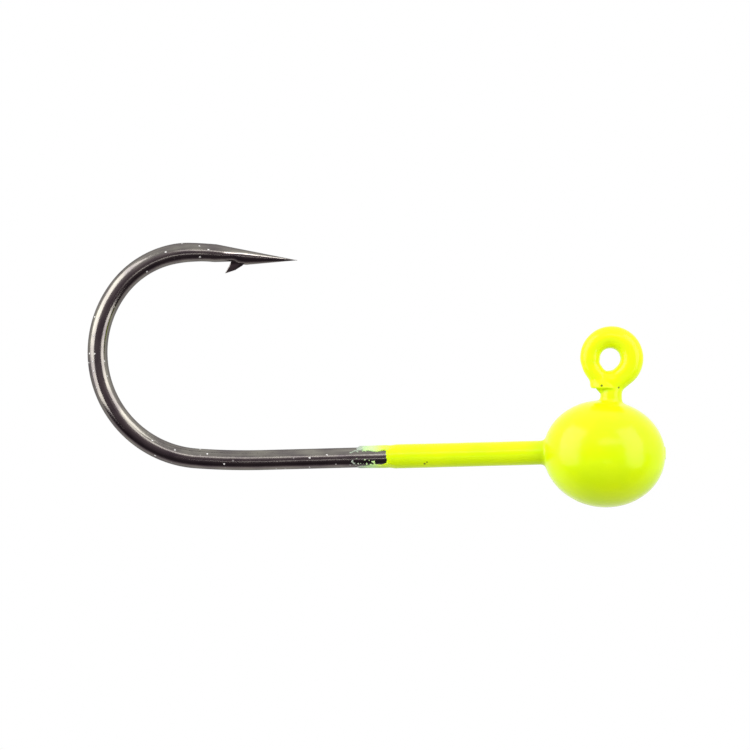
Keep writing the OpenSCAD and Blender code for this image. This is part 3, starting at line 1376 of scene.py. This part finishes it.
@dataclass
class BaseCoat(PaintCoat):
    """The white coat: thin, and torn away in strips, strokes and crumbs past the end of the colour."""

    film_t: float = 0.03
    film_rise: float = 0.5
    film_run: float = 1.7
    fade: float = 0.40
    jag: tuple[tuple[float, float, float], ...] = ((0.22, 0.42, 5.0), (0.10, 0.15, 9.0))
    bay_edge: tuple[float, float] = (0.62, 0.92)
    bay_turn: float = 0.06
    bay_jag: tuple[tuple[float, float, float], ...] = ((0.14, 0.5, 2.0),)
    bay_past: float = 0.15
    stroke_at: tuple[float, float] = (19.15, 20.45)
    stroke_face: float = 0.62
    stroke_swing: float = 0.13
    stroke_pace: float = 9.0
    stroke_w: float = 0.055
    stroke_fade: float = 1.6
    stroke_jag: tuple[tuple[float, float, float], ...] = ((0.05, 0.2, 6.0),)
    stroke_gaps: tuple[float, float, float] = (0.35, 8.0, -0.25)
    crumbs_at: tuple[float, float] = (18.5, 20.7)
    crumbs_face: tuple[float, float] = (-0.85, -0.08)
    crumb: float = 0.16
    crumb_cut: float = 0.27
    crumb_edge: float = 9.0

    def film(self, along: np.ndarray) -> np.ndarray:
        """Works out how thick the film is that ran past the end of the colour.

        Args:
            along: Length along the shank from the riser.

        Returns:
            Its extra thickness.
        """
        past = along - self.paint.top_l
        rise, fall = smooth_step(-self.film_rise, 0.0, past), smooth_step(0.0, self.film_run, past)
        return self.film_t * rise * (1 - fall)

    def cover(self, along: np.ndarray, face: np.ndarray, points: np.ndarray) -> np.ndarray:
        """Works out the coat's share of its full thickness.

        Args:
            along: Length along the shank from the riser.
            face: Angle round the shank.
            points: The places themselves.

        Returns:
            The shares, from 0 to 1.
        """
        bay_face = np.abs(face + self.bay_turn) + ripples(points, self.bay_jag)
        bay = 1 - smooth_step(*self.bay_edge, bay_face)
        end = self.paint.base_l - (self.paint.base_l - self.paint.top_l + self.bay_past) * bay
        film = (end + ripples(points, self.jag) - along) / self.fade
        wave = self.stroke_face + self.stroke_swing * np.sin((along - self.stroke_at[0]) * self.stroke_pace)
        off = np.abs(face - wave - ripples(points, self.stroke_jag))
        inside = (along > self.stroke_at[0]) & (along < self.stroke_at[1])
        pitch, seed, least = self.stroke_gaps
        unbroken = ripple(points, pitch, seed) > least
        stroke = np.where(inside & unbroken, self.stroke_fade - off / self.stroke_w, -1.0)
        below = (face > self.crumbs_face[0]) & (face < self.crumbs_face[1])
        below = below & (along > self.crumbs_at[0]) & (along < self.crumbs_at[1])
        crumb = np.full(len(points), -1.0)
        for index in np.where(below)[0]:
            grain = noise.noise(Vector(points[index] / self.crumb))
            crumb[index] = (grain - self.crumb_cut) * self.crumb_edge
        return np.clip(np.maximum(np.maximum(film, stroke), crumb), 0.0, 1.0)


# ---------------------------------------------------------------- the studio


@dataclass(frozen=True)
class SoftBox:
    """A rectangular studio light, aimed at the jig."""

    name: str
    azimuth: float
    elevation: float
    distance: float
    width: float
    height: float
    brightness: float

    def hang(self, target: Vector) -> None:
        """Hangs the light. Its brightness is its surface's, with the white walls at 1.

        Args:
            target: What it is aimed at.
        """
        a, e = math.radians(self.azimuth), math.radians(self.elevation)
        out = Vector((math.sin(a) * math.cos(e), -math.cos(a) * math.cos(e), math.sin(e)))
        lamp = bpy.data.lights.new(self.name, "AREA")
        lamp.shape, lamp.size, lamp.size_y = "RECTANGLE", self.width, self.height
        lamp.energy = self.brightness * math.pi * self.width * self.height
        obj = bpy.data.objects.new(self.name, lamp)
        obj.location = target + out * self.distance
        obj.rotation_euler = (-out).to_track_quat("-Z", "Y").to_euler()
        bpy.context.scene.collection.objects.link(obj)


@dataclass(frozen=True)
class Studio:
    """White walls, a pale floor well below the jig, soft boxes round it and the camera."""

    boxes: tuple[SoftBox, ...] = (
        SoftBox("left_box", -66.0, 14.0, 0.34, 0.29, 0.54, 3.9),
        SoftBox("right_box", 56.0, 14.0, 0.34, 0.22, 0.52, 3.4),
        SoftBox("front_box", 14.0, 27.0, 0.42, 0.26, 0.085, 2.6),
        SoftBox("low_box", 6.0, -18.0, 0.42, 0.12, 0.05, 1.7),
    )
    walls: tuple[tuple[float, float], ...] = (
        (-180.0, 1.0), (-125.0, 1.0), (-100.0, 0.8), (-88.0, 0.4), (-74.0, 0.06), (-45.0, 0.06),
        (-30.0, 0.12), (-8.0, 0.2), (4.0, 0.25), (16.0, 0.45), (28.0, 0.75), (45.0, 1.0),
        (90.0, 1.25), (180.0, 1.0))
    floor_drop: float = 0.045
    floor_r: float = 0.30
    floor_tone: tuple[float, float, float] = (0.42, 0.42, 0.415)
    dim_tint: tuple[float, float, float] = (1.15, 0.84, 1.12)
    lens: float = 380.0
    sensor: float = 36.0
    view_w: float = 0.0587
    view_x: float = -0.01848
    view_z: float = -0.00129

    def build(self, low: Vector, high: Vector) -> None:
        """Builds the studio round the object.

        Args:
            low: The low corner of the object's box.
            high: The high corner.
        """
        middle = (low + high) / 2
        for box in self.boxes:
            box.hang(middle)
        self.paint_walls()
        self.lay_floor(middle, low.z)
        self.set_camera()

    def paint_walls(self) -> None:
        """Makes the walls white where they are seen, and by angle round the hook's length for all else."""
        world = bpy.data.worlds.new("studio_walls")
        bpy.context.scene.world = world
        world.use_nodes = True
        kit = NodeKit(world.node_tree)
        wall = world.node_tree.nodes["Background"]
        split = kit.node("ShaderNodeSeparateXYZ")
        kit.link(kit.node("ShaderNodeTexCoord").outputs["Generated"], split.inputs["Vector"])
        towards = kit.maths("MULTIPLY", split.outputs["Y"], -1.0)
        angle = kit.maths("ARCTAN2", split.outputs["Z"], towards)
        ramp = kit.node("ShaderNodeValToRGB")
        kit.link(kit.ramp(angle, -math.pi, math.pi), ramp.inputs["Fac"])
        stops = ramp.color_ramp.elements
        while len(stops) < len(self.walls):
            stops.new(0.5)
        for stop, (degrees, tone) in zip(stops, self.walls):
            stop.position = (degrees + 180.0) / 360.0
            shade = max(0.0, 1.0 - tone)
            stop.color = (*(tone * (1.0 + (tint - 1.0) * shade) for tint in self.dim_tint), 1.0)
        seen = kit.node("ShaderNodeLightPath").outputs["Is Camera Ray"]
        kit.link(kit.mix(seen, ramp.outputs["Color"], (1.0, 1.0, 1.0)), wall.inputs["Color"])

    def lay_floor(self, middle: Vector, lowest: float) -> None:
        """Lays the floor under the jig.

        Args:
            middle: The middle of the object's box.
            lowest: Its lowest height.
        """
        bpy.ops.object.select_all(action="DESELECT")
        bpy.ops.mesh.primitive_circle_add(vertices=96, radius=self.floor_r, fill_type="NGON",
                                          location=(middle.x, middle.y, lowest - self.floor_drop))
        floor = bpy.context.object
        floor.name = "studio_floor"
        material, _, shader = new_finish("pale_floor")
        shader.inputs["Base Color"].default_value = (*self.floor_tone, 1.0)
        shader.inputs["Roughness"].default_value = 0.9
        floor.data.materials.append(material)
        floor.visible_glossy = False
        floor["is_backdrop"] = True

    def set_camera(self) -> None:
        """Sets a long lens square to the hook's plane."""
        data = bpy.data.cameras.new("camera")
        data.lens, data.sensor_width = self.lens, self.sensor
        data.clip_start, data.clip_end = 0.01, 10.0
        camera = bpy.data.objects.new("camera", data)
        camera.location = (self.view_x, -self.view_w * self.lens / self.sensor, self.view_z)
        camera.rotation_euler = (math.pi / 2, 0.0, 0.0)
        bpy.context.scene.collection.objects.link(camera)
        bpy.context.scene.camera = camera


# ---------------------------------------------------------------- the whole jig


@dataclass
class JigHead:
    """The whole jig: the hook, the lead in its paint, and the two coats."""

    hook_sizes: HookSizes = HookSizes()
    head: HeadSizes = HeadSizes()
    paint: PaintSizes = PaintSizes()

    def build(self, nodes: dict[str, bpy.types.Object]) -> None:
        """Draws and dresses every piece.

        Args:
            nodes: The frame's own nodes, by name.
        """
        path = WirePath(self.hook_sizes)
        hook = ForgedHook(path).draw()
        finish_piece(hook, BlackNickel(tip_at=path.length).make())
        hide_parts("hook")
        base = BaseCoat("base_coat_skin", path, self.head, self.paint, self.paint.base_t,
                        voxel=0.16, zone=(16.8, 20.6), cuts=4)
        base_skin = base.draw()
        finish_piece(base_skin, WhiteBase().make())
        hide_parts("base_coat")
        top = TopCoat("top_coat_skin", path, self.head, self.paint, self.paint.top_t,
                      voxel=0.09, zone=(16.6, 18.8), cuts=2)
        top_skin = top.draw()
        finish_piece(top_skin, FluorescentPaint().make())
        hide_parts("top_coat")
        casting = nodes["head_casting"]
        casting.data.materials.clear()
        casting.data.materials.append(CastLead().make())
        LOG.info("piece %s: kept from the frame", casting.name)


def main() -> None:
    """Builds the jig round the frame, then the studio round the jig."""
    logging.basicConfig(level=logging.INFO, format="%(name)s: %(message)s")
    bpy.context.scene.view_settings.view_transform = "Standard"
    JigHead().build(frame["nodes"])
    Studio().build(*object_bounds())


if __name__ == "__main__":
    main()
